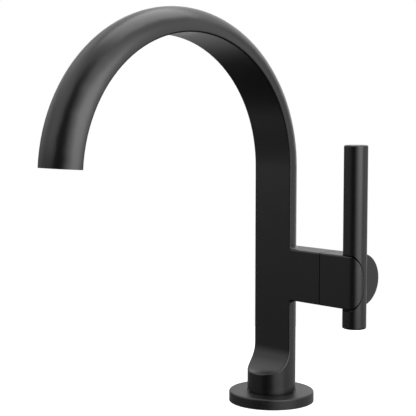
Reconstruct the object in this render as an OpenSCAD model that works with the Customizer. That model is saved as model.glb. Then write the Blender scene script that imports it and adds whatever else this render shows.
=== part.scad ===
/* [Spout] */
// Radius of the round collar and of the half-round spout
body_r = 15.5; // [13:0.1:18]
// Height of the straight upright, from the deck to where the arch starts
arch_z = 150.5; // [135:0.5:180]
// Radius of the arch, measured to the flat inner face
arch_r = 81.2; // [70:0.2:100]
// Angle that the arch sweeps before it is cut off square
arch_sweep = 176.3; // [160:0.1:180]
// Wall of the hollow spout
spout_wall = 3; // [2:0.1:3.5]
// Radius along the two edges where the flat meets the round
edge_r = 1; // [0.3:0.1:1.2]
// Height where the scoop starts to curve out of the flat
scoop_z = 35.3; // [33:0.1:45]
// Radius of the scoop that runs the flat out into the round collar
scoop_r = 15.5; // [14:0.1:18]

/* [Valve arm] */
// Height of the valve axis above the deck
valve_z = 83; // [75:0.5:95]
// Radius of the round back of the valve arm
valve_r = 16.3; // [15.8:0.1:18]
// Distance from the spout axis to the end of the fixed arm
arm_end = 39.8; // [38.5:0.1:44]
// How far the valve housing runs past the spout axis on the closed side
arm_back = 12; // [9:0.5:14]
// Radius of the fillets where the arm meets the upright
arm_fillet = 1.8; // [0.5:0.1:3]
// Radius of the chamber that holds the cartridge
chamber_r = 12.5; // [12:0.1:13]

/* [Handle] */
// Joint line between the fixed arm and the turning hub
joint_gap = 0.6; // [0.3:0.05:0.8]
// Play of the turning parts inside the valve
turn_gap = 0.3; // [0.2:0.05:0.5]
// Length of the turning hub, without its round nose
hub_len = 20.4; // [20:0.1:24]
// How far the rod's axis lies past the end of the hub
rod_out = 1.2; // [0:0.1:2]
// Radius of the rod
rod_r = 7.3; // [6.6:0.1:7.8]
// Height of the lower end of the rod above the deck
rod_low = 54.5; // [45:0.5:62]
// Height of the upper end of the rod above the deck
rod_high = 166; // [120:0.5:190]
// Radius of the rod's two end edges
rod_edge = 1; // [0.3:0.1:2]
// Radius of the saddle cut into the rod's front
saddle_r = 25; // [20:0.5:30]
// How far the saddle runs back past the rod's axis
saddle_back = 0.25; // [0:0.05:1]
// Radius of the hub's nose, which fills the saddle
nose_r = 22.3; // [20:0.1:30]
// Gap between nose and saddle where they are closest
nose_gap = 0.2; // [0.1:0.05:0.4]
// Play between the rod and the hole in the hub
seam = 0.4; // [0.2:0.05:0.6]
// Joint line on the rod just above and below the hub
slot_h = 1.2; // [0.4:0.1:1.6]
// How far that joint line is cut into the rod
slot_depth = 3.5; // [2:0.1:5]
// Angle that the handle turns from shut to full hot
turn_range = 90; // [60:5:100]

/* [Base] */
// Radius of the escutcheon
plate_r = 27.3; // [24:0.1:32]
// Height of the escutcheon
plate_h = 6; // [5:0.1:8]
// Radius of the escutcheon's top edge
plate_edge = 1; // [0.4:0.1:2]
// Thickness of the gasket under the escutcheon
gasket_t = 2.2; // [1.5:0.1:3]
// Width of the escutcheon's foot ring, outside the gasket
plate_rim = 2.8; // [2:0.1:4]
// Radius of the threaded shank
shank_r = 12.5; // [12:0.1:13]
// Wall of the shank
shank_wall = 1.9; // [1.5:0.1:2]
// Length of shank below the deck
shank_low = 64; // [60:1:90]
// Thickness of the deck that it is clamped to
deck_t = 30; // [10:1:34]
// Depth that the shank is screwed into the collar
socket_depth = 7.5; // [6:0.1:8]
// Radius of the plain lead below the shank's thread
lead_r = 12; // [11:0.1:12.3]
// Length of the plain lead
lead_len = 12; // [8:0.5:12]

/* [Water] */
// Outer radius of the two supply tubes
supply_r = 2.8; // [2.4:0.1:2.9]
// Outer radius of the outlet tube
outlet_r = 4; // [3.5:0.1:4.2]
// Wall of every tube
tube_wall = 0.8; // [0.6:0.1:1]
// Radius of the threaded inlets for the supply hoses
inlet_r = 4.3; // [4:0.1:4.4]
// Depth of the threaded inlets
inlet_depth = 10; // [8:0.5:11]
// Radius of the aerator bore in the outlet
aerator_r = 6.9; // [6.4:0.1:7]
// Depth of the aerator bore
aerator_depth = 12; // [11:0.5:14]

/* [Fits] */
// Radial clearance of a turning fit
run_fit = 0.06; // [0.03:0.01:0.1]
// Radial clearance of a thread or a push fit
push_fit = 0.1; // [0.05:0.01:0.15]
// Gap between the two lapped ceramic discs
lap_gap = 0.05; // [0.03:0.01:0.1]

/* [Hidden] */
$fn = 96;
eps = 0.01;
over = 1;
black = "#1d1d1e";
brass = "#b08d4a";
rubber = "#26262a";
steel = "#9fa3a6";
ceramic = "#e9e6df";
polymer = "#c9ccce";
copper = "#b87348";
limit_red = "#b23a2e";

// Valve axis and hub
valve_y = valve_r;
hub_start = arm_end + joint_gap;
hub_end = hub_start + hub_len;
rod_x = hub_end + rod_out;
rod_y = rod_r;
slot_reach = 2.4;

// How far the rounding of an inner corner runs past the faces that it joins
blend = 0.05;

// Chamber and cartridge, as distances along the valve axis
seat_x = 3;
seal_t = 1.6;
seal_lift = 0.1;
base_t = 4;
disc_t = 3;
flange_t = 2.5;
base_x = seat_x + seal_lift;
fixed_x = base_x + base_t;
moving_x = fixed_x + disc_t + lap_gap;
flange_x = moving_x + disc_t;
shell_r = chamber_r - 2 * push_fit;
shell_wall = 2.7;
disc_r = shell_r - shell_wall - 2 * push_fit;
disc_play = 0.5;
disc_room_x = flange_x + flange_t + turn_gap;
shell_front = 10;
shoulder_x = disc_room_x + shell_front;
neck_r = 8;
neck_len = 4;
neck_x = shoulder_x + neck_len;
nut_len = 8;
nut_x = shoulder_x + nut_len;
limit_t = 3.6;
limit_floor = 1;
limit_r = neck_r - push_fit;
stem_r = 5;
key_r = 7;
key_half = 12;
stop_play = 2;
spline_side = 6.4;
spline_len = 9.6;
spline_gap = 1.9;
spline_x = nut_x + spline_gap;
stem_end = spline_x + spline_len;
groove_w = 2.4;
groove_depth = 1.2;
groove_back = 4;
groove_x = shoulder_x - groove_back;
stem_seal_r = 0.56;
adapter_r = 7.5;
adapter_floor = 3;
adapter_gap = 0.5;
adapter_x = spline_x + adapter_gap;
adapter_end = stem_end + adapter_floor;
adapter_head = 2.5;
head_room = 0.5;
hub_socket_end = adapter_end + adapter_head + head_room;
port_count = 3;
port_ring = 5.2;
port_r = 1.9;
port_turn = 60;
seal_r = 2.9;
cavity_start = 180 + port_turn / 2;
cavity_turn = 140;
cavity_depth = 2;
tool_r = 1.2;
tool_depth = 2;
tool_count = 4;
ring_out = 0.4;
ring_in = 13;
ring_t = 1;
ring_w = 1.5;

// Screws: radius of the thread and of the head
adapter_screw_r = 1.7;
adapter_screw_len = 7;
adapter_head_r = 3;
set_screw_r = 2.5;
set_screw_len = 6;
set_screw_x = (hub_start + adapter_end) / 2;
rod_screw_r = 1.5;
rod_screw_head_r = 2.6;
rod_screw_head = 2;
rod_screw_drop = 4.7;
rod_screw_bite = 2.5;
rod_screw_y = valve_y - rod_screw_drop;
rod_screw_end = rod_x + rod_screw_bite;
thrust_r = 2.5;
thrust_web = 0.8;
thrust_ring = shank_r + thrust_r + thrust_web + 2 * push_fit;
thrust_turn = 30;
thrust_spare = 3;
hex_key = 1.4;
hex_depth = 1.5;

// Base and shank
shank_bore = shank_r - shank_wall;
shank_top = plate_h + socket_depth;
block_top = shank_top;
block_len = 18;
block_low = block_top - block_len;
block_socket = 4;
inlet_web = 0.7;
inlet_x = inlet_r + inlet_web;
passage_lean = 1;
supply_x = 4.2;
supply_y = 6.2;
supply_bite = 1;
supply_top = valve_z - valve_r + supply_bite;
cavity_low = shank_top;
cavity_high = valve_z - valve_r - spout_wall;
upper_cavity = valve_z + valve_r + spout_wall;
outlet_y = body_r / 2;
outlet_bite = 2;
outlet_low = valve_z + valve_r - outlet_bite;
outlet_ring = arch_r + outlet_y;
tube_lift = outlet_r * aerator_depth / outlet_ring + seal_lift;
tube_sweep = arch_sweep - asin((aerator_depth + tube_lift) / outlet_ring);
cavity_sweep = tube_sweep - asin(spout_wall / outlet_ring);
thread_wall = 0.55;
ring_seal_r = 0.8;
ring_seal_mid = shank_r + thread_wall + ring_seal_r;
aerator_seal_t = 1;
aerator_seal_bore = 4.2;
aerator_recess = 0.8;
aerator_wall = 1.3;
aerator_lip = 0.8;
jet_r = 0.65;
jet_pitch = 1.8;
jet_rows = 2;
jet_plate = 2;
mix_r = 0.6;
mix_edge = 0.4;
mix_plate = 1.5;
mix_count = 8;
notch_r = 0.6;
notch_depth = 1.5;
notch_count = 4;
rubber_t = 3;
washer_t = 2;
nut_rim = 1.4;
nut_r = thrust_ring + thrust_r + push_fit + nut_rim;
nut_h = 9;
nut_gap = 4;
washer_over = 2;
washer_r = nut_r + washer_over;
grip_r = 3;
grip_count = 6;
washer_low = deck_t + rubber_t + washer_t;
thrust_len = nut_gap + nut_h + thrust_spare;

// Moves the drawing onto the valve axis, local Z along the arm and local X down
module on_valve(x) {
  translate([x, valve_y, valve_z]) rotate([0, 90, 0]) children();
}

// Moves the drawing to the flat of the arch, local Y away from its centre and local Z along it
module on_arch(angle) {
  translate([0, -arch_r, arch_z]) rotate([angle, 0, 0]) translate([0, arch_r, 0]) children();
}

// Turns a flat outline so that its X is Y, its Y is Z and its depth runs along X
module along_x() {
  rotate([90, 0, 90]) children();
}

module tube(r, bore, h) {
  difference() {
    cylinder(r = r, h = h);
    translate([0, 0, -eps]) cylinder(r = bore, h = h + 2 * eps);
  }
}

// Round hole between two points
module drill(from, to, r) {
  way = to - from;
  len = norm(way);
  translate(from)
    rotate([0, acos(way[2] / len), atan2(way[1], way[0])])
      cylinder(r = r, h = len);
}

// Half-round outline: flat on the Y axis, round towards +X, both edges rounded
module half_round(r, edge) {
  mid_x = edge;
  mid_y = sqrt(pow(r - edge, 2) - edge * edge);
  reach = r / (r - edge) * (1 + edge / r);
  difference() {
    intersection() {
      circle(r = r);
      translate([0, -r]) square([r, 2 * r]);
    }
    for (side = [-1, 1])
      polygon([
        [mid_x, side * mid_y],
        [-edge, side * mid_y],
        [-edge, side * (r + edge)],
        [mid_x * reach, side * mid_y * reach]
      ]);
  }
  for (side = [-1, 1]) translate([mid_x, side * mid_y]) circle(r = edge);
}

// Hollow of the spout: the same half round, one wall inside
module half_hollow() {
  intersection() {
    circle(r = body_r - spout_wall);
    translate([spout_wall, -body_r]) square([body_r, 2 * body_r]);
  }
}

// Section of the arm: square front with rounded edges, half-round back
module arm_outline() {
  translate([valve_y, 0]) circle(r = valve_r);
  translate([0, -valve_r + edge_r]) square([valve_y, 2 * (valve_r - edge_r)]);
  translate([edge_r, -valve_r]) square([valve_y - edge_r, 2 * valve_r]);
  for (side = [-1, 1]) translate([edge_r, side * (valve_r - edge_r)]) circle(r = edge_r);
}

module arm_bar(from, to) {
  translate([from, 0, valve_z]) along_x() linear_extrude(height = to - from) arm_outline();
}

// Ring of metal that fills the corner between the upright and a flat above or below it
module corner_fillet(z, up) {
  translate([0, 0, z]) mirror([0, 0, up ? 0 : 1])
    rotate_extrude(angle = 90) difference() {
      translate([body_r - over, -over]) square([arm_fillet + over, arm_fillet + over]);
      translate([body_r + arm_fillet, arm_fillet]) circle(r = arm_fillet);
    }
}

// Takes the sharp front edge off that corner, in line with the rounded edges on both sides of it
module corner_round(z, up) {
  ring = arm_fillet + edge_r - blend;
  sink = edge_r - blend / 2;
  translate([body_r + arm_fillet, 0, z]) mirror([0, 0, up ? 0 : 1]) translate([0, 0, arm_fillet])
    rotate([90, 0, 0]) rotate(180) rotate_extrude(angle = 90) difference() {
      translate([arm_fillet / 2, -sink]) square([ring - arm_fillet / 2, sink + over]);
      translate([ring, -sink]) circle(r = edge_r);
    }
}

// Everything in front of the flat, with the scoop at its lower end
module front_cut() {
  translate([-body_r - over, 0, 0]) along_x() linear_extrude(height = 2 * (body_r + over)) {
    translate([-scoop_r, scoop_z]) circle(r = scoop_r);
    translate([-2 * body_r, scoop_z]) square([2 * body_r, arch_z]);
  }
}

module collar() {
  difference() {
    translate([0, 0, plate_h]) cylinder(r = body_r, h = scoop_z - plate_h);
    front_cut();
  }
}

module upright() {
  translate([0, 0, scoop_z]) rotate([0, 0, 90])
    linear_extrude(height = arch_z - scoop_z) half_round(body_r, edge_r);
}

module arch(sweep) {
  translate([0, -arch_r, arch_z]) along_x()
    rotate_extrude(angle = sweep) translate([arch_r, 0]) children();
}

// Closed end of the valve housing, a plain round drum with a rounded rim
module housing_end() {
  on_valve(-arm_back) rotate_extrude() {
    square([valve_r - edge_r, arm_back + eps]);
    translate([0, edge_r]) square([valve_r, arm_back + eps - edge_r]);
    translate([valve_r - edge_r, edge_r]) circle(r = edge_r);
  }
}

// Angle of a port round the valve axis
function port_angle(i) = port_turn + 360 / port_count * i;

module port_place(i) {
  rotate([0, 0, port_angle(i)]) translate([port_ring, 0, 0]) children();
}

// Centre of a port on the chamber's floor, in the model's own axes
function port_at(i) = [
  seat_x + eps,
  valve_y + port_ring * sin(port_angle(i)),
  valve_z - port_ring * cos(port_angle(i))
];

module valve_passages() {
  drill([-supply_x, supply_y, supply_top - over], port_at(2), port_r);
  drill([supply_x, supply_y, supply_top - over], port_at(0), port_r);
  drill([0, outlet_y, outlet_low + over], port_at(1), port_r);
}

module spout_body() {
  color(black) difference() {
    union() {
      collar();
      upright();
      arch(arch_sweep) half_round(body_r, edge_r);
      arm_bar(0, arm_end);
      housing_end();
      corner_fillet(valve_z + valve_r, true);
      corner_fillet(valve_z - valve_r, false);
    }
    corner_round(valve_z + valve_r, true);
    corner_round(valve_z - valve_r, false);
    // socket for the shank, with the seal groove beside it
    translate([0, 0, plate_h - eps]) cylinder(r = shank_r + push_fit, h = socket_depth + eps);
    translate([0, 0, plate_h - eps]) difference() {
      cylinder(r = ring_seal_mid + ring_seal_r + push_fit, h = 2 * ring_seal_r + eps);
      cylinder(r = ring_seal_mid - ring_seal_r - push_fit, h = 2 * ring_seal_r + eps);
    }
    // lower and upper hollows, closed off at the valve
    translate([0, 0, cavity_low - eps]) rotate([0, 0, 90])
      linear_extrude(height = cavity_high - cavity_low) half_hollow();
    translate([0, 0, upper_cavity]) rotate([0, 0, 90])
      linear_extrude(height = arch_z - upper_cavity + eps) half_hollow();
    arch(cavity_sweep) half_hollow();
    // sockets for the three tubes
    for (side = [-1, 1])
      translate([side * supply_x, supply_y, cavity_high - over])
        cylinder(r = supply_r + push_fit, h = supply_top - cavity_high + over);
    translate([0, outlet_y, outlet_low])
      cylinder(r = outlet_r + push_fit, h = upper_cavity - outlet_low + over);
    in_aerator(aerator_depth) cylinder(r = aerator_r, h = aerator_depth + over);
    arch(tube_sweep + over) translate([outlet_y, 0]) circle(r = outlet_r + push_fit);
    // chamber for the cartridge and its passages
    on_valve(seat_x) cylinder(r = chamber_r, h = arm_end - seat_x + over);
    on_valve(arm_end - ring_t + ring_out) cylinder(r = ring_in + ring_w + push_fit, h = ring_t + over);
    valve_passages();
  }
}

module escutcheon() {
  color(black) rotate_extrude() difference() {
    union() {
      translate([shank_r + push_fit, 0]) square([plate_r - shank_r - push_fit, plate_h - plate_edge]);
      translate([shank_r + push_fit, 0]) square([plate_r - plate_edge - shank_r - push_fit, plate_h]);
      translate([plate_r - plate_edge, plate_h - plate_edge]) circle(r = plate_edge);
    }
    translate([0, -eps]) square([plate_r - plate_rim, gasket_t + eps]);
  }
}

module escutcheon_gasket() {
  color(rubber) tube(plate_r - plate_rim - push_fit, shank_r + push_fit, gasket_t);
}

module base_o_ring() {
  color(rubber) translate([0, 0, plate_h + ring_seal_r])
    rotate_extrude() translate([ring_seal_mid, 0]) circle(r = ring_seal_r);
}

module mounting_shank() {
  color(brass) {
    translate([0, 0, lead_len - shank_low]) tube(shank_r, shank_bore, shank_low - lead_len + shank_top);
    translate([0, 0, -shank_low]) tube(lead_r, shank_bore, lead_len + eps);
  }
}

module inlet_block() {
  color(brass) difference() {
    translate([0, 0, block_low]) cylinder(r = shank_bore - push_fit, h = block_top - block_low);
    for (side = [-1, 1]) {
      translate([side * inlet_x, 0, block_low - eps]) cylinder(r = inlet_r, h = inlet_depth + eps);
      translate([side * supply_x, supply_y, block_top - block_socket])
        cylinder(r = supply_r + push_fit, h = block_socket + eps);
      drill([side * inlet_x, passage_lean, block_low + inlet_depth - eps],
        [side * supply_x, supply_y - passage_lean, block_top - block_socket + over], supply_r - tube_wall);
    }
  }
}

module supply_tube(side) {
  translate([side * supply_x, supply_y, block_top - block_socket])
    tube(supply_r, supply_r - tube_wall, supply_top - block_top + block_socket);
}

module hot_supply_tube() {
  color(copper) supply_tube(-1);
}

module cold_supply_tube() {
  color(copper) supply_tube(1);
}

module outlet_waterway() {
  color(polymer) difference() {
    union() {
      translate([0, outlet_y, outlet_low]) cylinder(r = outlet_r, h = arch_z - outlet_low);
      arch(tube_sweep) translate([outlet_y, 0]) circle(r = outlet_r);
    }
    translate([0, outlet_y, outlet_low - eps])
      cylinder(r = outlet_r - tube_wall, h = arch_z - outlet_low + 2 * eps);
    arch(tube_sweep + over) translate([outlet_y, 0]) circle(r = outlet_r - tube_wall);
  }
}

module deck_rubber_washer() {
  color(rubber) translate([0, 0, -deck_t - rubber_t]) tube(washer_r, shank_r + push_fit, rubber_t);
}

module deck_steel_washer() {
  color(steel) translate([0, 0, -washer_low]) tube(washer_r, shank_r + push_fit, washer_t);
}

module mounting_nut() {
  color(brass) translate([0, 0, -washer_low - nut_gap - nut_h]) difference() {
    cylinder(r = nut_r, h = nut_h);
    translate([0, 0, -eps]) cylinder(r = shank_r + push_fit, h = nut_h + 2 * eps);
    for (i = [0:grip_count - 1]) rotate([0, 0, 360 / grip_count * i])
      translate([nut_r + grip_r / 2, 0, -eps]) cylinder(r = grip_r, h = nut_h + 2 * eps);
    for (side = [-1, 1]) rotate([0, 0, thrust_turn]) translate([side * thrust_ring, 0, -eps])
      cylinder(r = thrust_r + push_fit, h = nut_h + 2 * eps);
  }
}

module thrust_screws() {
  color(steel) for (side = [-1, 1]) rotate([0, 0, thrust_turn])
    translate([side * thrust_ring, 0, -washer_low - thrust_len]) difference() {
      cylinder(r = thrust_r, h = thrust_len);
      translate([0, 0, -eps]) cylinder(r = hex_key, h = 2 * hex_depth, $fn = 6);
    }
}

// Moves the drawing to the aerator, local Z along the bore from a depth to the outlet
module in_aerator(depth) {
  on_arch(arch_sweep) translate([0, outlet_y, -depth]) children();
}

module aerator_housing() {
  length = aerator_depth - aerator_seal_t - aerator_recess;
  bore = aerator_r - push_fit - aerator_wall;
  color(black) in_aerator(length + aerator_recess) difference() {
    cylinder(r = aerator_r - push_fit, h = length);
    translate([0, 0, -eps]) cylinder(r = bore, h = length - aerator_lip);
    cylinder(r = bore - aerator_lip, h = length + over);
    for (i = [0:notch_count - 1]) rotate([0, 0, 360 / notch_count * i])
      translate([aerator_r - notch_r, 0, length - notch_depth])
        cylinder(r = notch_r, h = notch_depth + over);
  }
}

module aerator_insert() {
  length = aerator_depth - aerator_seal_t - aerator_recess - aerator_lip - push_fit;
  insert_r = aerator_r - aerator_wall - 2 * push_fit;
  cup_r = insert_r - aerator_lip;
  color(polymer) in_aerator(aerator_depth - aerator_seal_t) difference() {
    cylinder(r = insert_r, h = length);
    translate([0, 0, mix_plate]) cylinder(r = cup_r, h = length - mix_plate - jet_plate);
    for (i = [0:mix_count - 1]) rotate([0, 0, 360 / mix_count * i])
      translate([cup_r - mix_r - mix_edge, 0, -eps]) cylinder(r = mix_r, h = mix_plate + 2 * eps);
    // sieve of small holes in a hexagonal pattern
    for (row = [-jet_rows:jet_rows]) for (i = [0:2 * jet_rows - abs(row)])
      translate([
        (i - jet_rows + abs(row) / 2) * jet_pitch,
        row * jet_pitch * sin(60),
        length - jet_plate - eps
      ]) cylinder(r = jet_r, h = jet_plate + 2 * eps);
  }
}

module aerator_seal() {
  color(rubber) in_aerator(aerator_depth) tube(aerator_r - push_fit, aerator_seal_bore, aerator_seal_t);
}

module cartridge_shell() {
  color(polymer) difference() {
    union() {
      on_valve(fixed_x) cylinder(r = shell_r, h = shoulder_x - fixed_x);
      on_valve(fixed_x) cylinder(r = neck_r, h = neck_x - fixed_x);
    }
    on_valve(fixed_x - eps) cylinder(r = disc_r + push_fit, h = disc_room_x - fixed_x + eps);
    on_valve(fixed_x) cylinder(r = stem_r + run_fit, h = neck_x);
  }
}

module cartridge_base() {
  color(polymer) difference() {
    on_valve(base_x) cylinder(r = shell_r, h = base_t);
    for (i = [0:port_count - 1]) on_valve(base_x) port_place(i) {
      translate([0, 0, -eps]) cylinder(r = seal_r + push_fit, h = seal_t - seal_lift + eps);
      cylinder(r = port_r, h = base_t + over);
    }
  }
}

module port_seals() {
  color(rubber) for (i = [0:port_count - 1]) on_valve(seat_x) port_place(i) tube(seal_r, port_r, seal_t);
}

module fixed_ceramic_disc() {
  color(ceramic) difference() {
    on_valve(fixed_x) cylinder(r = disc_r, h = disc_t);
    for (i = [0:port_count - 1]) on_valve(fixed_x - eps) port_place(i)
      cylinder(r = port_r, h = disc_t + over);
  }
}

module moving_ceramic_disc() {
  color(ceramic) difference() {
    on_valve(moving_x) cylinder(r = disc_r - disc_play, h = disc_t);
    on_valve(moving_x - eps) rotate([0, 0, cavity_start]) rotate_extrude(angle = cavity_turn)
      translate([port_ring - port_r, 0]) square([2 * port_r, cavity_depth]);
  }
}

module retaining_nut() {
  color(brass) difference() {
    on_valve(shoulder_x) cylinder(r = shell_r, h = nut_len);
    on_valve(shoulder_x - eps) cylinder(r = neck_r + push_fit, h = nut_len + over);
    for (i = [0:tool_count - 1]) on_valve(nut_x - tool_depth) rotate([0, 0, 360 / tool_count * i])
      translate([(neck_r + shell_r) / 2, 0, 0]) cylinder(r = tool_r, h = tool_depth + over);
  }
}

module limit_ring() {
  color(limit_red) difference() {
    on_valve(neck_x) cylinder(r = limit_r, h = limit_t);
    on_valve(neck_x - eps) cylinder(r = stem_r + turn_gap, h = limit_t + over);
    on_valve(neck_x + limit_floor) rotate([0, 0, -key_half - stop_play])
      rotate_extrude(angle = turn_range + 2 * (key_half + stop_play))
        square([key_r + turn_gap, limit_t]);
  }
}

module glide_ring() {
  color(polymer) on_valve(arm_end - ring_t + ring_out) tube(ring_in + ring_w, ring_in, ring_t);
}

module spline(side) {
  for (turn = [0:30:60]) rotate(turn) square(side, center = true);
}

module cartridge_stem() {
  color(brass) difference() {
    union() {
      on_valve(flange_x) cylinder(r = disc_r - disc_play, h = flange_t);
      on_valve(flange_x) cylinder(r = stem_r, h = spline_x - flange_x);
      on_valve(spline_x - eps) linear_extrude(height = stem_end - spline_x) spline(spline_side);
      on_valve(neck_x + limit_floor + turn_gap) rotate([0, 0, -key_half])
        rotate_extrude(angle = 2 * key_half) square([key_r, limit_t - limit_floor - turn_gap]);
    }
    on_valve(groove_x) tube(stem_r + over, stem_r - groove_depth, groove_w);
    on_valve(stem_end - adapter_screw_len - over)
      cylinder(r = adapter_screw_r + run_fit, h = adapter_screw_len + 2 * over);
  }
}

module stem_o_ring() {
  color(rubber) on_valve(groove_x + groove_w / 2)
    rotate_extrude() translate([stem_r - groove_depth / 2, 0]) circle(r = stem_seal_r);
}

module stem_adapter() {
  color(brass) difference() {
    on_valve(adapter_x) cylinder(r = adapter_r, h = adapter_end - adapter_x);
    on_valve(adapter_x - eps) linear_extrude(height = stem_end - adapter_x + push_fit)
      spline(spline_side + 2 * push_fit);
    on_valve(stem_end) cylinder(r = adapter_screw_r + push_fit, h = adapter_end - stem_end + over);
  }
}

module adapter_screw() {
  color(steel) difference() {
    union() {
      on_valve(stem_end - adapter_screw_len)
        cylinder(r = adapter_screw_r, h = adapter_floor + adapter_screw_len + eps);
      on_valve(adapter_end) cylinder(r = adapter_head_r, h = adapter_head);
    }
    on_valve(adapter_end + adapter_head - hex_depth) cylinder(r = hex_key, h = hex_depth + over, $fn = 6);
  }
}

// Body of the hub before the rod is let into it
module hub_block() {
  intersection() {
    arm_bar(hub_start, hub_end);
    union() {
      // front part, its two end edges rounded
      translate([hub_start, valve_y, valve_z]) rotate([90, 0, 0]) linear_extrude(height = valve_y + over) {
        translate([0, -valve_r]) square([hub_len - edge_r, 2 * valve_r]);
        translate([0, -valve_r + edge_r]) square([hub_len, 2 * (valve_r - edge_r)]);
        for (side = [-1, 1]) translate([hub_len - edge_r, side * (valve_r - edge_r)]) circle(r = edge_r);
      }
      // round back, its end edge rounded
      on_valve(hub_start) rotate_extrude() {
        square([valve_r, hub_len - edge_r]);
        square([valve_r - edge_r, hub_len]);
        translate([valve_r - edge_r, hub_len - edge_r]) circle(r = edge_r);
      }
    }
  }
}

// Drum across the rod, in front of a plane that it touches
module cross_drum(r, back_y) {
  translate([hub_start, back_y - r, valve_z]) rotate([0, 90, 0])
    cylinder(r = r, h = rod_x + rod_r - hub_start + over, $fn = 180);
}

module rod_bar(r, low, high) {
  translate([rod_x, rod_y, low]) cylinder(r = r, h = high - low);
}

// Round bar on the rod's axis with both end edges rounded
module soft_bar(low, high, edge) {
  translate([rod_x, rod_y, low]) rotate_extrude() {
    translate([0, edge]) square([rod_r, high - low - 2 * edge]);
    square([rod_r - edge, high - low]);
    for (z = [edge, high - low - edge]) translate([rod_r - edge, z]) circle(r = edge);
  }
}

module handle_hub() {
  color(black) difference() {
    union() {
      difference() {
        hub_block();
        rod_bar(rod_r + seam, rod_low, rod_high);
      }
      intersection() {
        union() {
          arm_bar(hub_start, rod_x - edge_r / 2);
          soft_bar(valve_z - valve_r, valve_z + valve_r, edge_r);
        }
        cross_drum(nose_r, rod_y + saddle_back - nose_gap);
        translate([hub_start, 0, valve_z - valve_r]) cube([hub_len + 2 * rod_r, 2 * rod_r, 2 * valve_r]);
      }
    }
    on_valve(hub_start - eps) cylinder(r = adapter_r + run_fit, h = hub_socket_end - hub_start);
    translate([set_screw_x, valve_y, valve_z - valve_r - over])
      cylinder(r = set_screw_r + push_fit, h = valve_r - adapter_r + 2 * over);
    translate([hub_socket_end - eps, rod_screw_y, valve_z]) rotate([0, 90, 0]) {
      cylinder(r = rod_screw_head_r + push_fit, h = rod_screw_head + eps);
      cylinder(r = rod_screw_r + push_fit, h = rod_x - hub_socket_end);
    }
  }
}

module handle_rod() {
  color(black) difference() {
    soft_bar(rod_low, rod_high, rod_edge);
    intersection() {
      cross_drum(saddle_r, rod_y + saddle_back);
      translate([rod_x - 2 * rod_r, -over, valve_z - valve_r - slot_h])
        cube([4 * rod_r, 2 * rod_r, 2 * (valve_r + slot_h)]);
    }
    // level joint lines, which end where the saddle's edge starts
    for (z = [valve_z - valve_r - slot_h, valve_z + valve_r])
      translate([rod_x - 2 * rod_r, -over, z]) cube([2 * rod_r + slot_reach, slot_depth + over, slot_h]);
    translate([rod_x - rod_r, rod_screw_y, valve_z]) rotate([0, 90, 0])
      cylinder(r = rod_screw_r + push_fit, h = rod_screw_end - rod_x + rod_r + disc_play);
  }
}

module set_screw() {
  color(steel) translate([set_screw_x, valve_y, valve_z - adapter_r - set_screw_len]) difference() {
    cylinder(r = set_screw_r, h = set_screw_len);
    translate([0, 0, -eps]) cylinder(r = hex_key, h = hex_depth, $fn = 6);
  }
}

module rod_screw() {
  color(steel) translate([hub_socket_end, rod_screw_y, valve_z]) rotate([0, 90, 0]) difference() {
    union() {
      cylinder(r = rod_screw_head_r, h = rod_screw_head);
      cylinder(r = rod_screw_r, h = rod_screw_end - hub_socket_end);
    }
    translate([0, 0, -eps]) cylinder(r = hex_key, h = hex_depth, $fn = 6);
  }
}

spout_body();
escutcheon();
escutcheon_gasket();
base_o_ring();
mounting_shank();
inlet_block();
hot_supply_tube();
cold_supply_tube();
outlet_waterway();
deck_rubber_washer();
deck_steel_washer();
mounting_nut();
thrust_screws();
aerator_housing();
aerator_insert();
aerator_seal();
cartridge_shell();
cartridge_base();
port_seals();
fixed_ceramic_disc();
retaining_nut();
limit_ring();
glide_ring();
handle_hub();
handle_rod();
cartridge_stem();
moving_ceramic_disc();
stem_o_ring();
stem_adapter();
adapter_screw();
set_screw();
rod_screw();
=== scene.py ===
import math

import bpy
from mathutils import Euler, Matrix


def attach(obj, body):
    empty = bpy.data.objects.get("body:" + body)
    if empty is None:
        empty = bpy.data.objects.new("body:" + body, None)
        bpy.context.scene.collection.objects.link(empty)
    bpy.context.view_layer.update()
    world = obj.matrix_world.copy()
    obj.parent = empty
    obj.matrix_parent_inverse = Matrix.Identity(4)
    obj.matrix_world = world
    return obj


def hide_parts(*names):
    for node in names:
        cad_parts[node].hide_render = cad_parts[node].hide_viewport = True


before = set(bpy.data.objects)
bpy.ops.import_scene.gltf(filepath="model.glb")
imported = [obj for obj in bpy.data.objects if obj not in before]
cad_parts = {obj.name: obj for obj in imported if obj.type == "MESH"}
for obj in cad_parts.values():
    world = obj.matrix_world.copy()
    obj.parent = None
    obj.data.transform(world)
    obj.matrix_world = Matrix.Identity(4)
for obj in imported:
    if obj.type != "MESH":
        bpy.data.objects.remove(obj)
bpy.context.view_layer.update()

# Lengths are in metres and angles in degrees, where a name doesn't say otherwise.
# Azimuth 0 is in front of the faucet, along -Y, and 90 is on the handle's side, along +X.

# ---------------------------------------------------------------- camera

CAMERA_PLACE = (0.5114319, -0.5437983, 0.1921774)
CAMERA_AZIMUTH = 46.389
CAMERA_DIP = 5.193
LENS_MM = 101.57
SENSOR_MM = 36
CLIP_START = 0.01
CLIP_END = 20


def add_camera():
    """The camera of the photo, as solved from the faucet's outlines."""
    lens = bpy.data.cameras.new("photo_camera")
    lens.lens = LENS_MM
    lens.sensor_width = SENSOR_MM
    lens.clip_start = CLIP_START
    lens.clip_end = CLIP_END
    camera = bpy.data.objects.new("photo_camera", lens)
    bpy.context.scene.collection.objects.link(camera)
    camera.location = CAMERA_PLACE
    camera.rotation_euler = (math.radians(90 - CAMERA_DIP), 0, math.radians(CAMERA_AZIMUTH))
    bpy.context.scene.camera = camera


add_camera()

# ---------------------------------------------------------------- helpers for node trees


def node(tree, kind, **values):
    made = tree.nodes.new(kind)
    for name, value in values.items():
        setattr(made, name, value)
    return made


def link(tree, out, into):
    tree.links.new(out, into)


def grey(value):
    return (value, value, value, 1)


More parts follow.
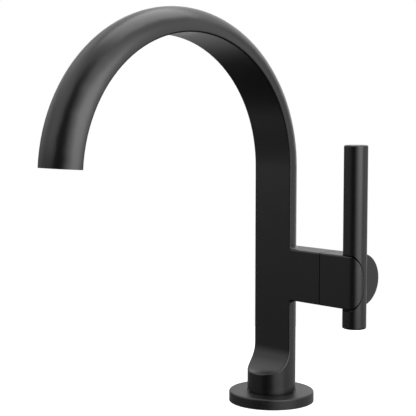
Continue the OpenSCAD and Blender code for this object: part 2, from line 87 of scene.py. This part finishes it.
def noise(tree, vector, scale, detail, rough):
    made = node(tree, "ShaderNodeTexNoise")
    made.inputs["Detail"].default_value = detail
    made.inputs["Roughness"].default_value = rough
    link(tree, vector, made.inputs["Vector"])
    link(tree, scale, made.inputs["Scale"])
    return made.outputs["Fac"]


def maths(tree, operation, a, b=0.0):
    made = node(tree, "ShaderNodeMath", operation=operation)
    for socket, value in zip(made.inputs, (a, b)):
        if isinstance(value, float):
            socket.default_value = value
        else:
            link(tree, value, socket)
    return made.outputs[0]


def tinted(tree, colour, factor):
    """The colour times a value that changes over the surface."""
    made = node(tree, "ShaderNodeVectorMath", operation="SCALE")
    link(tree, colour, made.inputs[0])
    link(tree, factor, made.inputs["Scale"])
    return made.outputs[0]


def seen_by_camera(tree):
    """One for what the camera sees straight, mirrored or through glass, nought for light that is scattered."""
    ray = node(tree, "ShaderNodeLightPath")
    straight = maths(tree, "MAXIMUM", ray.outputs["Is Camera Ray"], ray.outputs["Is Glossy Ray"])
    return maths(tree, "MAXIMUM", straight, ray.outputs["Is Transmission Ray"])


# ---------------------------------------------------------------- finishes

GRAIN_SHARE = 0.4
PATCH_SHARE = 0.6


def start_effect(name, fine, slow):
    """A node group with the sockets that both effects share and the names of its own two scales."""
    tree = bpy.data.node_groups.new(name, "ShaderNodeTree")
    tree.interface.new_socket(name="Vector", in_out="INPUT", socket_type="NodeSocketVector")
    tree.interface.new_socket(name="Colour", in_out="INPUT", socket_type="NodeSocketColor")
    for label in (fine, slow, "Roughness", "Spread", "Tone Spread"):
        tree.interface.new_socket(name=label, in_out="INPUT", socket_type="NodeSocketFloat")
    tree.interface.new_socket(name="Colour", in_out="OUTPUT", socket_type="NodeSocketColor")
    for label in ("Roughness", "Height"):
        tree.interface.new_socket(name=label, in_out="OUTPUT", socket_type="NodeSocketFloat")
    return tree, node(tree, "NodeGroupInput").outputs, node(tree, "NodeGroupOutput").inputs


def end_effect(tree, given, wanted, swing, relief):
    """Lets the swing move roughness and tone about their given values, and passes the relief on."""
    rough = maths(tree, "ADD", given["Roughness"], maths(tree, "MULTIPLY", swing, given["Spread"]))
    tone = maths(tree, "ADD", 1.0, maths(tree, "MULTIPLY", swing, given["Tone Spread"]))
    link(tree, rough, wanted["Roughness"])
    link(tree, tinted(tree, given["Colour"], tone), wanted["Colour"])
    link(tree, relief, wanted["Height"])
    return tree


def coat_grain():
    """Fine grain of a coating or a moulding, with slow patches of more and less gloss."""
    tree, given, wanted = start_effect("coat_grain", "Grain Scale", "Patch Scale")
    grain = noise(tree, given["Vector"], given["Grain Scale"], 3.0, 0.6)
    patch = noise(tree, given["Vector"], given["Patch Scale"], 2.0, 0.5)
    both = maths(
        tree, "ADD", maths(tree, "MULTIPLY", grain, GRAIN_SHARE), maths(tree, "MULTIPLY", patch, PATCH_SHARE)
    )
    return end_effect(tree, given, wanted, maths(tree, "SUBTRACT", both, 0.5), grain)


def lathe_marks():
    """Fine rings that a turning tool leaves, spaced along the piece's own axis and out from it."""
    tree, given, wanted = start_effect("lathe_marks", "Pitch Scale", "Stain Scale")
    parts = node(tree, "ShaderNodeSeparateXYZ")
    link(tree, given["Vector"], parts.inputs[0])
    x2 = maths(tree, "MULTIPLY", parts.outputs["X"], parts.outputs["X"])
    y2 = maths(tree, "MULTIPLY", parts.outputs["Y"], parts.outputs["Y"])
    ring = node(tree, "ShaderNodeCombineXYZ")
    link(tree, maths(tree, "SQRT", maths(tree, "ADD", x2, y2)), ring.inputs["X"])
    link(tree, parts.outputs["Z"], ring.inputs["Z"])
    marks = noise(tree, ring.outputs[0], given["Pitch Scale"], 2.0, 0.7)
    stain = noise(tree, given["Vector"], given["Stain Scale"], 4.0, 0.6)
    return end_effect(tree, given, wanted, maths(tree, "SUBTRACT", stain, 0.5), marks)


COAT_GRAIN = coat_grain()
LATHE_MARKS = lathe_marks()


def finish(name, effect, colour, scales, roughness, spreads, relief, metallic=0.0, axis_at=None):
    """A material with one shared effect.

    scales: of the fine and of the slow pattern; spreads: of roughness and of tone; relief: strength and depth;
    axis_at: a point on the axis of a piece that was turned about a line along X.
    """
    material = bpy.data.materials.new(name)
    material.use_nodes = True
    tree = material.node_tree
    shader = tree.nodes["Principled BSDF"].inputs
    place = node(tree, "ShaderNodeTexCoord").outputs["Object"]
    if axis_at is not None:
        mapping = node(tree, "ShaderNodeMapping", vector_type="TEXTURE")
        mapping.inputs["Location"].default_value = axis_at
        mapping.inputs["Rotation"].default_value = (0, math.radians(90), 0)
        link(tree, place, mapping.inputs["Vector"])
        place = mapping.outputs[0]
    use = node(tree, "ShaderNodeGroup", node_tree=effect)
    link(tree, place, use.inputs["Vector"])
    for socket, value in zip(use.inputs[1:], (colour, *scales, roughness, *spreads)):
        socket.default_value = value
    link(tree, use.outputs["Colour"], shader["Base Color"])
    link(tree, use.outputs["Roughness"], shader["Roughness"])
    bump = node(tree, "ShaderNodeBump")
    bump.inputs["Strength"].default_value, bump.inputs["Distance"].default_value = relief
    link(tree, use.outputs["Height"], bump.inputs["Height"])
    link(tree, bump.outputs["Normal"], shader["Normal"])
    shader["Metallic"].default_value = metallic
    return material


VALVE_AXIS_AT = (0, 0.0163, 0.083)

MATTE_BLACK = finish(
    "matte_black", COAT_GRAIN, grey(0.004), scales=(5200, 24), roughness=0.3,
    spreads=(0.05, 0.5), relief=(0.05, 0.00002),
)
PLATE_BLACK = finish(
    "plate_black", COAT_GRAIN, grey(0.004), scales=(5200, 24), roughness=0.4,
    spreads=(0.05, 0.5), relief=(0.05, 0.00002),
)
BRASS = finish(
    "machined_brass", LATHE_MARKS, (0.62, 0.47, 0.22, 1), scales=(4200, 70), roughness=0.28,
    spreads=(0.2, 0.35), relief=(0.12, 0.00004), metallic=1.0,
)
VALVE_BRASS = finish(
    "valve_brass", LATHE_MARKS, (0.64, 0.49, 0.24, 1), scales=(4800, 90), roughness=0.24,
    spreads=(0.15, 0.25), relief=(0.12, 0.00004), metallic=1.0, axis_at=VALVE_AXIS_AT,
)
COPPER = finish(
    "copper_tube", COAT_GRAIN, (0.62, 0.33, 0.2, 1), scales=(900, 80), roughness=0.3,
    spreads=(0.2, 0.5), relief=(0.05, 0.00003), metallic=1.0,
)
STEEL = finish(
    "zinc_plated_steel", COAT_GRAIN, (0.55, 0.56, 0.57, 1), scales=(1400, 120), roughness=0.33,
    spreads=(0.25, 0.4), relief=(0.08, 0.00003), metallic=1.0,
)
RUBBER = finish(
    "moulded_rubber", COAT_GRAIN, (0.02, 0.02, 0.022, 1), scales=(1800, 60), roughness=0.62,
    spreads=(0.2, 0.6), relief=(0.15, 0.00005),
)
CERAMIC = finish(
    "lapped_ceramic", COAT_GRAIN, (0.84, 0.82, 0.78, 1), scales=(6000, 200), roughness=0.16,
    spreads=(0.08, 0.06), relief=(0.02, 0.00001),
)
POLYMER = finish(
    "moulded_polymer", COAT_GRAIN, (0.6, 0.62, 0.63, 1), scales=(2200, 90), roughness=0.42,
    spreads=(0.12, 0.12), relief=(0.08, 0.00003),
)
GLIDE_POLYMER = finish(
    "black_glide_polymer", COAT_GRAIN, grey(0.012), scales=(2200, 90), roughness=0.5,
    spreads=(0.12, 0.3), relief=(0.08, 0.00003),
)
LIMIT_POLYMER = finish(
    "limit_ring_polymer", COAT_GRAIN, (0.5, 0.05, 0.03, 1), scales=(2200, 90), roughness=0.42,
    spreads=(0.12, 0.15), relief=(0.08, 0.00003),
)

FINISH_OF = {
    "spout_body": MATTE_BLACK, "escutcheon": PLATE_BLACK, "handle_hub": MATTE_BLACK, "handle_rod": MATTE_BLACK,
    "aerator_housing": MATTE_BLACK, "mounting_shank": BRASS, "inlet_block": BRASS, "mounting_nut": BRASS,
    "retaining_nut": VALVE_BRASS, "cartridge_stem": VALVE_BRASS, "stem_adapter": VALVE_BRASS,
    "hot_supply_tube": COPPER, "cold_supply_tube": COPPER, "deck_steel_washer": STEEL, "thrust_screws": STEEL,
    "adapter_screw": STEEL, "set_screw": STEEL, "rod_screw": STEEL, "escutcheon_gasket": RUBBER,
    "base_o_ring": RUBBER, "deck_rubber_washer": RUBBER, "aerator_seal": RUBBER, "port_seals": RUBBER,
    "stem_o_ring": RUBBER, "fixed_ceramic_disc": CERAMIC, "moving_ceramic_disc": CERAMIC,
    "cartridge_shell": POLYMER, "cartridge_base": POLYMER, "aerator_insert": POLYMER,
    "outlet_waterway": POLYMER, "glide_ring": GLIDE_POLYMER, "limit_ring": LIMIT_POLYMER,
}

for name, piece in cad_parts.items():
    for held in piece.material_slots:
        held.material = FINISH_OF[name]


# ---------------------------------------------------------------- modelling helpers

SAME_POINT = 0.000001
ON_CAD = 0.00001
SHARP_FROM = 30


def deselect():
    bpy.ops.object.select_all(action="DESELECT")


def pick_points(piece, test):
    """Selects those points of the active piece whose place passes the test, and leaves it in edit mode."""
    bpy.ops.object.mode_set(mode="EDIT")
    bpy.ops.mesh.select_mode(type="VERT")
    bpy.ops.mesh.select_all(action="DESELECT")
    bpy.ops.object.mode_set(mode="OBJECT")
    for point in piece.data.vertices:
        point.select = test(point.co)
    bpy.ops.object.mode_set(mode="EDIT")


def pick_faces(piece, test):
    """Selects those faces of the active piece whose centre passes the test, and leaves it in edit mode."""
    bpy.ops.object.mode_set(mode="EDIT")
    bpy.ops.mesh.select_mode(type="FACE")
    bpy.ops.mesh.select_all(action="DESELECT")
    bpy.ops.object.mode_set(mode="OBJECT")
    for face in piece.data.polygons:
        face.select = test(piece.matrix_world @ face.center)
    bpy.ops.object.mode_set(mode="EDIT")


def close_mesh(piece):
    """Merges the doubles of the active piece and turns its faces outwards."""
    bpy.context.view_layer.objects.active = piece
    bpy.ops.object.mode_set(mode="EDIT")
    bpy.ops.mesh.select_all(action="SELECT")
    bpy.ops.mesh.remove_doubles(threshold=SAME_POINT)
    bpy.ops.mesh.normals_make_consistent(inside=False)
    bpy.ops.object.mode_set(mode="OBJECT")


def shape_by(piece, kind, **settings):
    """Gives the active piece a modifier with these settings and applies it."""
    held = piece.modifiers.new(kind.lower(), kind)
    for name, value in settings.items():
        setattr(held, name, value)
    bpy.ops.object.modifier_apply(modifier=held.name)


def solid_of(cad_node, name):
    """A merged copy of a CAD node, to be cut further."""
    piece = bpy.data.objects.new(name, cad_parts[cad_node].data.copy())
    bpy.context.scene.collection.objects.link(piece)
    deselect()
    piece.select_set(True)
    bpy.context.view_layer.objects.active = piece
    bpy.ops.mesh.customdata_custom_splitnormals_clear()
    bpy.ops.object.mode_set(mode="EDIT")
    bpy.ops.mesh.select_all(action="SELECT")
    bpy.ops.mesh.remove_doubles(threshold=SAME_POINT)
    bpy.ops.object.mode_set(mode="OBJECT")
    return piece


def cut_away(piece, tool):
    deselect()
    piece.select_set(True)
    bpy.context.view_layer.objects.active = piece
    shape_by(piece, "BOOLEAN", operation="DIFFERENCE", solver="EXACT", object=tool)
    bpy.data.objects.remove(tool)


def smooth_faces(piece):
    """Smooths the active piece between its sharp edges, with the large faces leading."""
    bpy.ops.object.shade_smooth_by_angle(angle=math.radians(SHARP_FROM))
    shape_by(piece, "WEIGHTED_NORMAL", keep_sharp=True)


def keep_cad_shading(piece, cad_node, test):
    """Takes the CAD node's own shading at those points of the active piece that pass the test and lie on it."""
    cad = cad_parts[cad_node]
    group = piece.vertex_groups.new(name="as_cad")
    kept = [
        point.index for point in piece.data.vertices
        if test(point.co) and (cad.closest_point_on_mesh(point.co)[1] - point.co).length < ON_CAD
    ]
    group.add(kept, 1.0, "REPLACE")
    shape_by(
        piece, "DATA_TRANSFER", object=cad, use_loop_data=True, data_types_loops={"CUSTOM_NORMAL"},
        loop_mapping="POLYINTERP_NEAREST", vertex_group=group.name,
    )
    piece.vertex_groups.clear()


def stand_for(piece, slot, *cad_nodes):
    """Fixes a finished piece to the faucet in the place of those CAD nodes."""
    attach(piece, "faucet")
    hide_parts(*cad_nodes)


# ---------------------------------------------------------------- body: rounded scoop edge and foot line

COLLAR_R = 0.0155
SCOOP_Z = 0.0353
LIP_R = 0.001
NEAR = 0.00005
EDGE_POINTS = 161
EDGE_STEPS = 1000
CORNER_RUN_ON = 0.0001
BALL_RUN_ON = 0.001
ROUNDING_SHARE = 0.97
CORNER_SIDES = 8
BALL_SIDES = 14
ESCUTCHEON_TOP = 0.006
PLATE_RISE = 0.0006
RAISED_TOP = ESCUTCHEON_TOP + PLATE_RISE
FOOT_GAP = 0.0001
LINE_H = 0.001
LINE_DEPTH = 0.0007
LINE_START = LINE_H / 4
LINE_REACH = 1.1
RING_SIDES = 192


def scoop_edge(inset, rise):
    """Even points along the scoop's edge from the flat's left round the front to its right.

    inset: how far they lie in from both faces; rise: how far both ends run on up the flat.
    """
    spine_r = COLLAR_R - inset
    last = math.pi / 2 + math.asin(inset / spine_r)
    fine = []
    for i in range(EDGE_STEPS + 1):
        turn = last * math.sin(math.radians(90 * i / EDGE_STEPS))
        x, y = spine_r * math.sin(turn), -spine_r * math.cos(turn)
        fine.append((x, y, SCOOP_Z - math.sqrt(max((COLLAR_R + inset) ** 2 - (y + COLLAR_R) ** 2, 0))))
    fine.append((fine[-1][0], fine[-1][1], SCOOP_Z + rise))
    along = [0.0]
    for before, after in zip(fine, fine[1:]):
        along.append(along[-1] + math.dist(before, after))
    half = []
    k = 0
    for i in range(EDGE_POINTS // 2 + 1):
        wanted = along[-1] * i / (EDGE_POINTS // 2)
        while k < len(fine) - 2 and along[k + 1] < wanted:
            k += 1
        share = (wanted - along[k]) / (along[k + 1] - along[k])
        half.append(tuple(p + (q - p) * share for p, q in zip(fine[k], fine[k + 1])))
    return [(-x, y, z) for x, y, z in reversed(half[1:])] + half


def add_edge_tube(name, path, radii, sides):
    """A closed tube along a path of 4 * n + 1 points, with its own radius at each point."""
    deselect()
    bpy.ops.curve.primitive_nurbs_path_add(location=(0, 0, 0))
    tube = bpy.context.object
    tube.name = name
    bpy.ops.object.mode_set(mode="EDIT")
    bpy.ops.curve.select_all(action="SELECT")
    bpy.ops.curve.spline_type_set(type="POLY")
    bpy.ops.curve.subdivide(number_cuts=(len(path) - 1) // 4 - 1)
    bpy.ops.object.mode_set(mode="OBJECT")
    for point, place, radius in zip(tube.data.splines[0].points, path, radii):
        point.co = (*place, 1)
        point.radius = radius
    tube.data.bevel_depth = 1.0
    tube.data.bevel_resolution = sides
    tube.data.use_fill_caps = True
    bpy.ops.object.convert(target="MESH")
    close_mesh(bpy.context.object)
    return bpy.context.object


def rounding_starts(place):
    """How far from the sharp edge the rounding meets the two faces there."""
    across = min(max((place[1] + COLLAR_R) / COLLAR_R, 0), 1)
    corner = math.pi - math.acos(across * (1 - across))
    return ROUNDING_SHARE * LIP_R / math.tan(corner / 2)


def on_collar(place):
    """Whether a point is on the collar's side or in its scoop, below the flat."""
    out = math.hypot(place.x, place.y) > COLLAR_R - NEAR
    in_scoop = abs(math.hypot(place.y + COLLAR_R, place.z - SCOOP_Z) - COLLAR_R) < NEAR
    return ESCUTCHEON_TOP < place.z < SCOOP_Z - NEAR and (out or in_scoop)


def add_foot_line():
    """The tool for the fine dark line at the collar's foot, a ring from just below the plate's top."""
    deselect()
    bpy.ops.mesh.primitive_circle_add(
        vertices=RING_SIDES, radius=COLLAR_R - LINE_DEPTH, location=(0, 0, RAISED_TOP - LINE_START)
    )
    ring = bpy.context.object
    bpy.ops.object.mode_set(mode="EDIT")
    bpy.ops.mesh.select_mode(type="VERT")
    bpy.ops.mesh.select_all(action="SELECT")
    bpy.ops.mesh.extrude_region_move()
    bpy.ops.transform.resize(value=(LINE_REACH, LINE_REACH, 1))
    bpy.ops.mesh.select_all(action="SELECT")
    bpy.ops.mesh.extrude_region_move(TRANSFORM_OT_translate={"value": (0, 0, LINE_START + LINE_H)})
    bpy.ops.object.mode_set(mode="OBJECT")
    close_mesh(ring)
    return ring


def round_scoop_edge():
    """The cast body with the sharp edge round its scoop taken off to the radius of the flat's other edges."""
    edge = scoop_edge(0, CORNER_RUN_ON)
    corner = add_edge_tube("corner", edge, [rounding_starts(place) for place in edge], CORNER_SIDES)
    spine = scoop_edge(LIP_R, BALL_RUN_ON)
    cut_away(corner, add_edge_tube("ball", spine, [LIP_R] * len(spine), BALL_SIDES))
    body = solid_of("spout_body", "rounded_spout_body")
    cut_away(body, corner)
    cut_away(body, add_foot_line())
    smooth_faces(body)
    keep_cad_shading(body, "spout_body", on_collar)
    stand_for(body, "matte_black", "spout_body")


round_scoop_edge()

# ---------------------------------------------------------------- escutcheon: higher round the collar

PLATE_EDGE_LOW = 0.0045
PLATE_OUTSIDE = 0.02


def add_recess():
    """The tool for the shallow recess that the collar stands in, placed as the plate is before its rise."""
    deselect()
    bpy.ops.mesh.primitive_cylinder_add(
        vertices=RING_SIDES, radius=COLLAR_R + FOOT_GAP, depth=4 * PLATE_RISE, location=(0, 0, RAISED_TOP)
    )
    return bpy.context.object


def on_plate_edge(place):
    """Whether a point is on the plate's top or its rounded upper edge, outside the collar."""
    return place.z > PLATE_EDGE_LOW and math.hypot(place.x, place.y) > PLATE_OUTSIDE


def raise_plate():
    """The escutcheon with its top a little higher round the collar."""
    plate = solid_of("escutcheon", "raised_escutcheon")
    cut_away(plate, add_recess())
    smooth_faces(plate)
    keep_cad_shading(plate, "escutcheon", on_plate_edge)
    pick_points(plate, lambda place: place.z > PLATE_EDGE_LOW)
    bpy.ops.transform.translate(value=(0, 0, PLATE_RISE))
    bpy.ops.object.mode_set(mode="OBJECT")
    stand_for(plate, "matte_black", "escutcheon")


raise_plate()

# ---------------------------------------------------------------- shank: its thread

SHANK_R = 0.0125
THREAD_PITCH = 0.0015
THREAD_R = 0.0008
THREAD_OUT = 0.0001
THREAD_LOW = -0.0535
THREAD_TURNS = 46
THREAD_STEPS = 48


def add_thread_groove():
    """The tool that cuts the thread: a three-sided bar that winds up round the shank, one edge inwards."""
    deselect()
    edge_inwards = Matrix(((0, -1, 0), (0, 0, -1), (1, 0, 0))).to_euler()
    bpy.ops.mesh.primitive_circle_add(
        vertices=3, radius=THREAD_R, location=(SHANK_R - THREAD_OUT, 0, THREAD_LOW), rotation=edge_inwards
    )
    bar = bpy.context.object
    bpy.ops.object.transform_apply(location=True, rotation=True, scale=True)
    shape_by(
        bar, "SCREW", axis="Z", angle=2 * math.pi, screw_offset=THREAD_PITCH, iterations=THREAD_TURNS,
        steps=THREAD_STEPS, render_steps=THREAD_STEPS,
    )
    bpy.ops.object.mode_set(mode="EDIT")
    bpy.ops.mesh.select_all(action="SELECT")
    bpy.ops.mesh.remove_doubles(threshold=SAME_POINT)
    bpy.ops.mesh.select_all(action="SELECT")
    bpy.ops.mesh.fill_holes(sides=3)
    bpy.ops.object.mode_set(mode="OBJECT")
    close_mesh(bar)
    return bar


def thread_shank():
    """The shank with its thread."""
    shank = solid_of("mounting_shank", "threaded_shank")
    cut_away(shank, add_thread_groove())
    smooth_faces(shank)
    stand_for(shank, "brass", "mounting_shank")


thread_shank()

# ---------------------------------------------------------------- floor, lamps and screens

FLOOR_R = 0.25
FLOOR_SIDES = 128
FLOOR_DROP = 0.0001
FLOOR_GREY = 0.5
FLOOR_LIFT = 0.85
WORLD_LIGHT = 0.5
LIGHT_CENTRE_Z = 0.12
LAMP_DISTANCE = 2.4

# Name, azimuth, elevation, roll, width, height, radiance
SOFT_BOXES = (
    ("right_soft_box", 85.5, 14.6, -1.9, 1.74, 1.67, 2.45),
    ("right_wide_box", 75.1, 21.9, -7.1, 3.31, 3.36, 0.99),
    ("left_soft_box", 310.7, 28.6, -8.6, 4.57, 2.93, 0.34),
    ("top_soft_box", 12.2, 106.4, 0, 2.09, 2.13, 2.43),
)

# Name, azimuth from and to, elevation from and to, lean, distance, level
SCREENS = (
    ("front_card", 0.4, 50.7, -44, 62.7, 0.05, 4.0, 0.0),
    ("left_low_card", 226, 403, -34, 9.6, -1.2, 5.0, 0.19),
    ("left_high_card", 190, 258.1, -9, 33.6, -0.62, 5.8, 1.12),
    ("back_card", 155.4, 319.9, -32.4, 32.8, -0.06, 6.4, 0.5),
    ("right_high_card", -11.4, 162.2, 11.8, 38.2, 0.8, 7.0, 1.45),
    ("low_left_card", 222, 252, -42, -12, 0.0, 3.6, 0.46),
    ("low_side_card", 252, 325, -62, -27, 0.0, 3.8, 0.36),
)

CARD_SIDES = 72
UNDER_CARD_TOP = -16
UNDER_CARD_R = 9.0
UNDER_CARD_LEVEL = 0.02


def add_floor():
    """A small round floor that takes the faucet's shadow and is as white as the backdrop."""
    deselect()
    bpy.ops.mesh.primitive_circle_add(
        vertices=FLOOR_SIDES, radius=FLOOR_R, fill_type="NGON", location=(0, 0, -FLOOR_DROP)
    )
    floor = bpy.context.object
    floor.name = "studio_floor"
    material = bpy.data.materials.new("white_floor")
    material.use_nodes = True
    tree = material.node_tree
    tree.nodes.clear()
    matt = node(tree, "ShaderNodeBsdfDiffuse")
    matt.inputs["Color"].default_value = grey(FLOOR_GREY)
    lift = node(tree, "ShaderNodeEmission")
    lift.inputs["Color"].default_value = grey(1)
    link(tree, maths(tree, "MULTIPLY", seen_by_camera(tree), FLOOR_LIFT), lift.inputs["Strength"])
    both = node(tree, "ShaderNodeAddShader")
    link(tree, matt.outputs[0], both.inputs[0])
    link(tree, lift.outputs[0], both.inputs[1])
    link(tree, both.outputs[0], node(tree, "ShaderNodeOutputMaterial").inputs[0])
    material.cycles.emission_sampling = "NONE"
    floor.data.materials.append(material)
    floor.visible_glossy = False


def add_world():
    """White for what the camera sees, straight, mirrored or through glass, and a softer level as light."""
    world = bpy.data.worlds.new("white_studio")
    bpy.context.scene.world = world
    world.use_nodes = True
    tree = world.node_tree
    back = tree.nodes["Background"]
    back.inputs["Color"].default_value = grey(1)
    white = maths(tree, "MULTIPLY", seen_by_camera(tree), 1.0 - WORLD_LIGHT)
    link(tree, maths(tree, "ADD", WORLD_LIGHT, white), back.inputs["Strength"])
    world.cycles.sampling_method = "NONE"


def toward(azimuth, elevation, distance):
    """A point seen from the faucet at that azimuth and elevation."""
    a, e = math.radians(azimuth), math.radians(elevation)
    return (
        distance * math.sin(a) * math.cos(e),
        -distance * math.cos(a) * math.cos(e),
        LIGHT_CENTRE_Z + distance * math.sin(e),
    )


def facing(azimuth, elevation, roll):
    """The turn of a lamp that looks back at the faucet, rolled about its own line of sight."""
    level = Euler((math.radians(90 - elevation), 0, math.radians(azimuth)))
    return (level.to_matrix() @ Matrix.Rotation(math.radians(roll), 3, "Z")).to_euler()


def add_soft_box(name, azimuth, elevation, roll, width, height, radiance):
    lamp = bpy.data.lights.new(name, "AREA")
    lamp.shape = "RECTANGLE"
    lamp.size, lamp.size_y = width, height
    lamp.energy = radiance * math.pi * width * height
    held = bpy.data.objects.new(name, lamp)
    bpy.context.scene.collection.objects.link(held)
    held.location = toward(azimuth, elevation, LAMP_DISTANCE)
    held.rotation_euler = facing(azimuth, elevation, roll)
    held.visible_camera = False


def deal_card(card, name, level):
    """Gives a card its even glow and shows it to mirror-like reflections alone."""
    card.name = name
    material = bpy.data.materials.new(name)
    material.use_nodes = True
    tree = material.node_tree
    tree.nodes.clear()
    glow = node(tree, "ShaderNodeEmission")
    glow.inputs["Color"].default_value = grey(1)
    glow.inputs["Strength"].default_value = level
    link(tree, glow.outputs[0], node(tree, "ShaderNodeOutputMaterial").inputs[0])
    material.cycles.emission_sampling = "NONE"
    card.data.materials.append(material)
    for way in ("visible_camera", "visible_diffuse", "visible_shadow", "visible_transmission"):
        setattr(card, way, False)


def add_screen(name, start, end, low, high, lean, distance, level):
    """A curved card from azimuth start to end and elevation low to high; lean turns it per degree upwards."""
    deselect()
    foot = distance * math.tan(math.radians(low))
    head = distance * math.tan(math.radians(high))
    middle = LIGHT_CENTRE_Z + (foot + head) / 2
    bpy.ops.mesh.primitive_cylinder_add(
        vertices=CARD_SIDES, radius=distance, depth=head - foot, end_fill_type="NOTHING",
        location=(0, 0, middle),
    )
    card = bpy.context.object
    pick_faces(card, lambda place: (math.degrees(math.atan2(place.x, -place.y)) - start) % 360 > end - start)
    bpy.ops.mesh.delete(type="FACE")
    for edge, side in ((high, 1), (low, -1)):
        pick_points(card, lambda place: place.z * side > 0)
        bpy.ops.transform.rotate(
            value=-math.radians(lean * edge), orient_axis="Z", orient_type="GLOBAL",
            center_override=(0, 0, middle),
        )
    bpy.ops.object.mode_set(mode="OBJECT")
    deal_card(card, name, level)


def add_under_card():
    """A level card far below the faucet, seen up to the elevation UNDER_CARD_TOP."""
    deselect()
    height = LIGHT_CENTRE_Z + UNDER_CARD_R * math.tan(math.radians(UNDER_CARD_TOP))
    bpy.ops.mesh.primitive_circle_add(
        vertices=CARD_SIDES, radius=UNDER_CARD_R, fill_type="NGON", location=(0, 0, height)
    )
    deal_card(bpy.context.object, "under_card", UNDER_CARD_LEVEL)


add_floor()
add_world()
for box in SOFT_BOXES:
    add_soft_box(*box)
for screen in SCREENS:
    add_screen(*screen)
add_under_card()

bpy.context.scene.view_settings.view_transform = "Standard"
